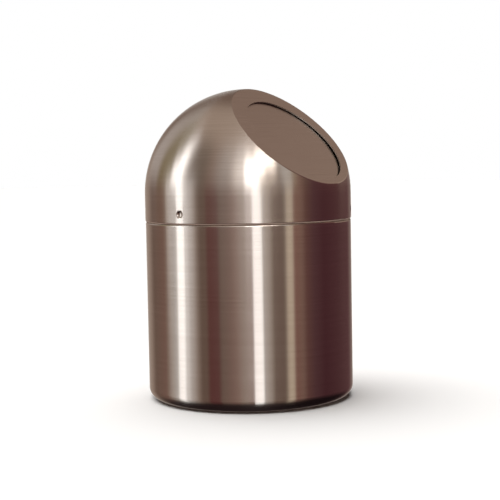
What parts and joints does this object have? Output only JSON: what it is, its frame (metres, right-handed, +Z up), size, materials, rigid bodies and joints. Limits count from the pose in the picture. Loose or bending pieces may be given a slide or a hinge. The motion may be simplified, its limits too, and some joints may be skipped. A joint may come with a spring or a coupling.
{
  "type": "tabletop waste bin",
  "caption": "Round brushed-steel tabletop waste bin with a lift-off domed lid, whose flat slanted face holds a sprung push flap.",
  "frame": {"origin": "middle of the base, on the surface that the bin stands on", "axes": "+Z up; the slanted face and its flap look towards -Y and up; +X is the bin's left side as it faces you"},
  "size_m": [0.12, 0.12, 0.1793],
  "materials": {
    "brushed_steel": "drawn stainless steel, brushed round the axis, satin",
    "flap_steel": "stainless sheet, brushed straight across, satin",
    "bracket_steel": "stamped stainless sheet, mill finish",
    "rod_steel": "drawn bright steel",
    "spring_steel": "bright spring wire",
    "neck_plastic": "moulded polypropylene, black, fine matt",
    "sleeve_nylon": "natural nylon tube, smooth",
    "pad_rubber": "cut rubber sheet, matt",
    "buffer_silicone": "moulded silicone, matt"
  },
  "bodies": {
    "body": {"body_shell": "brushed_steel", "base_pad": "pad_rubber"},
    "neck": {"neck_ring": "neck_plastic"},
    "lid": {"lid_shell": "brushed_steel", "hinge_bracket": "bracket_steel", "hinge_rod": "rod_steel", "rod_cap_left": "bracket_steel", "rod_cap_right": "bracket_steel", "spacer_sleeve": "sleeve_nylon", "closing_spring": "spring_steel", "buffer_left": "buffer_silicone", "buffer_middle": "buffer_silicone", "buffer_right": "buffer_silicone"},
    "flap": {"flap_disc": "flap_steel", "flap_lug_left": "bracket_steel", "flap_lug_right": "bracket_steel"}
  },
  "joints": [
    {"name": "lid_turn", "type": "hinge", "parent": "body", "child": "neck", "pos_m": [0, 0, 0.1036], "axis": [0, 0, 1], "continuous": true},
    {"name": "lid_lift", "type": "slide", "parent": "neck", "child": "lid", "axis": [0, 0, 1], "range_m": [0, 0.06]},
    {"name": "flap_hinge", "type": "hinge", "parent": "lid", "child": "flap", "pos_m": [0, -0.00452, 0.17072], "axis": [1, 0, 0], "range_deg": [0, 75], "stiffness_Nm_per_rad": 0.01, "springref_deg": -114.59, "deforming": ["closing_spring"]}
  ]
}
